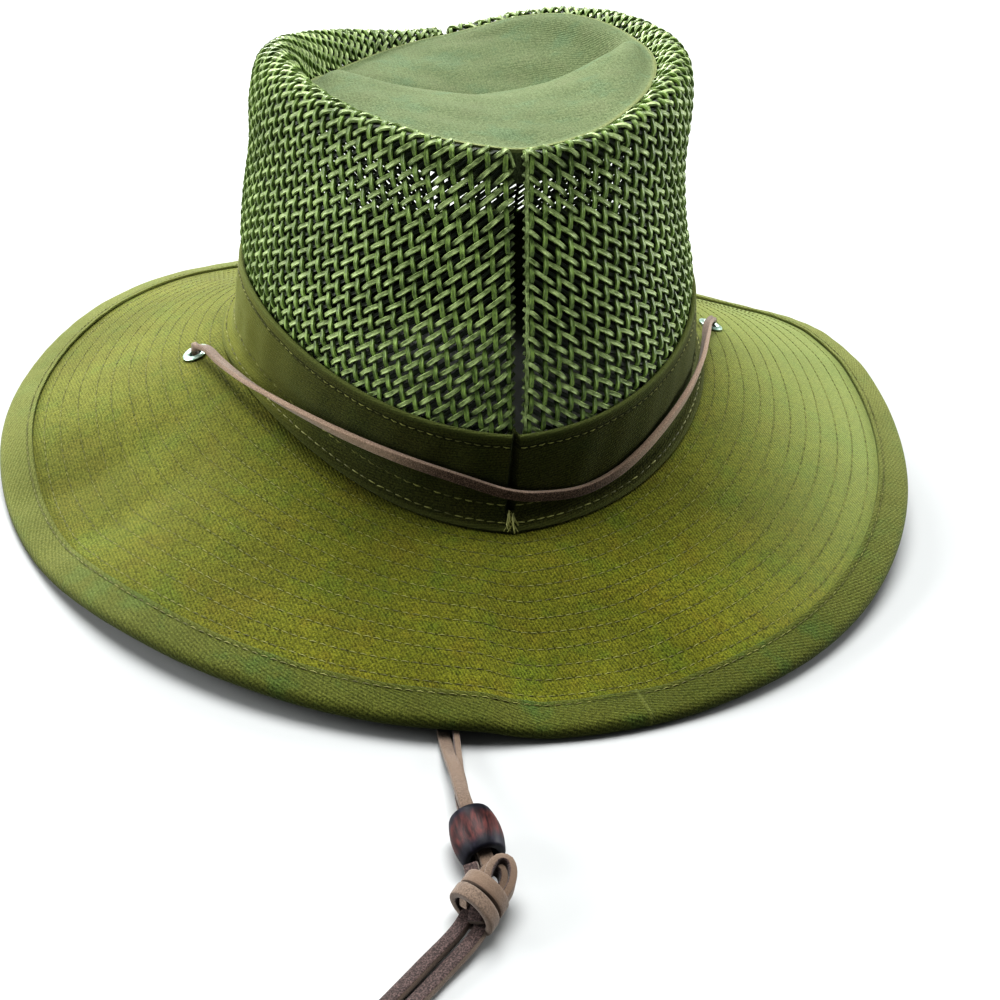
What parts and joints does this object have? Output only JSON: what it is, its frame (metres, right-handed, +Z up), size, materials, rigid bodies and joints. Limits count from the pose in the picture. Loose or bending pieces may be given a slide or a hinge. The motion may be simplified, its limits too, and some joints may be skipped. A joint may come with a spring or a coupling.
{
  "type": "fishing hat",
  "caption": "Wide-brimmed sun hat with a creased twill top, open-weave crown walls, stitched twill brim, metal eyelets and a flat lace chin cord with a barrel bead and a knot.",
  "frame": {"origin": "under the middle of the hat's bounding box without the cord, on the surface the hat rests on", "axes": "+Z up, +Y towards the front of the hat, +X towards the right when seen from the back"},
  "size_m": [0.3176, 0.4188, 0.1372],
  "materials": {
    "twill_tip": "olive cotton twill, paler on top",
    "weave": "glossy dark green raffia-like yarn, open two by one twill weave",
    "twill_band": "olive cotton twill, top-stitched",
    "twill_brim": "olive cotton twill with rings of stitching",
    "twill_binding": "olive cotton twill folded over the edge",
    "eyelet_metal": "rolled silver ring",
    "suede": "taupe suede with a darker grain side",
    "dark_wood": "stained and polished, darker at the ends"
  },
  "bodies": {
    "root": {"crown_tip": "twill_tip", "crown_mesh_left": "weave", "crown_mesh_right": "weave", "crown_band": "twill_band", "brim": "twill_brim", "brim_binding": "twill_binding", "eyelet_left": "eyelet_metal", "eyelet_right": "eyelet_metal", "chin_cord": "suede", "bead": "dark_wood", "cord_knot": "suede", "cord_tail_left": "suede", "cord_tail_right": "suede"}
  },
  "joints": []
}
